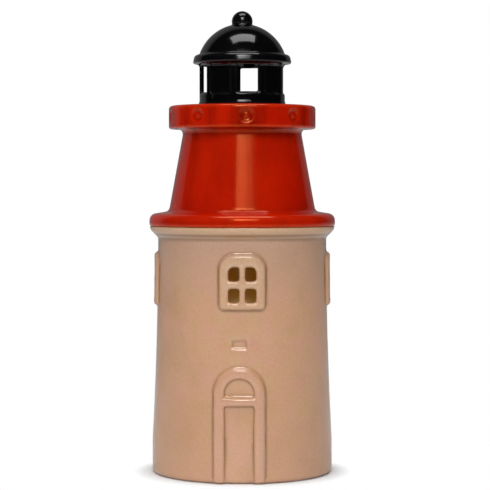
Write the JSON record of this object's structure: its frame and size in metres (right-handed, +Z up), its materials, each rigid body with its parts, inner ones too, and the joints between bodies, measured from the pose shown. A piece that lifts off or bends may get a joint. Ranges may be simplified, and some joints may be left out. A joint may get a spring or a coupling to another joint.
{
  "type": "lighthouse candle holder",
  "caption": "Glazed ceramic lighthouse that holds a tea light: hollow cream tower with pierced windows, red lift-off gallery lid and black windowed lantern with a domed top.",
  "frame": {"origin": "centre of the foot, on the surface that the tower stands on", "axes": "+Z up along the tower, -Y out of the door, +X to the right of someone who faces the door"},
  "size_m": [0.1127, 0.1126, 0.2793],
  "materials": {
    "cream_glaze": "glossy mottled tan glaze",
    "red_glaze": "glossy deep orange-red glaze",
    "black_glaze": "glossy black glaze",
    "cup_aluminium": "bright pressed foil",
    "white_wax": "waxy, slightly translucent",
    "tab_tinplate": "stamped tinplate",
    "wick_cotton": "braided cotton"
  },
  "bodies": {
    "tower": {"tower": "cream_glaze"},
    "gallery_lid": {"gallery_lid": "red_glaze"},
    "lantern": {"lantern": "black_glaze"},
    "tealight": {"tealight_cup": "cup_aluminium", "candle_wax": "white_wax", "wick_tab": "tab_tinplate", "wick": "wick_cotton"}
  },
  "joints": [
    {"name": "lid_lift", "type": "slide", "parent": "tower", "child": "gallery_lid", "axis": [0, 0, 1], "range_m": [0, 0.08]},
    {"name": "lantern_lift", "type": "slide", "parent": "gallery_lid", "child": "lantern", "axis": [0, 0, 1], "range_m": [0, 0.05]},
    {"name": "tealight_lift", "type": "slide", "parent": "tower", "child": "tealight", "axis": [0, 0, 1], "range_m": [0, 0.15]}
  ]
}
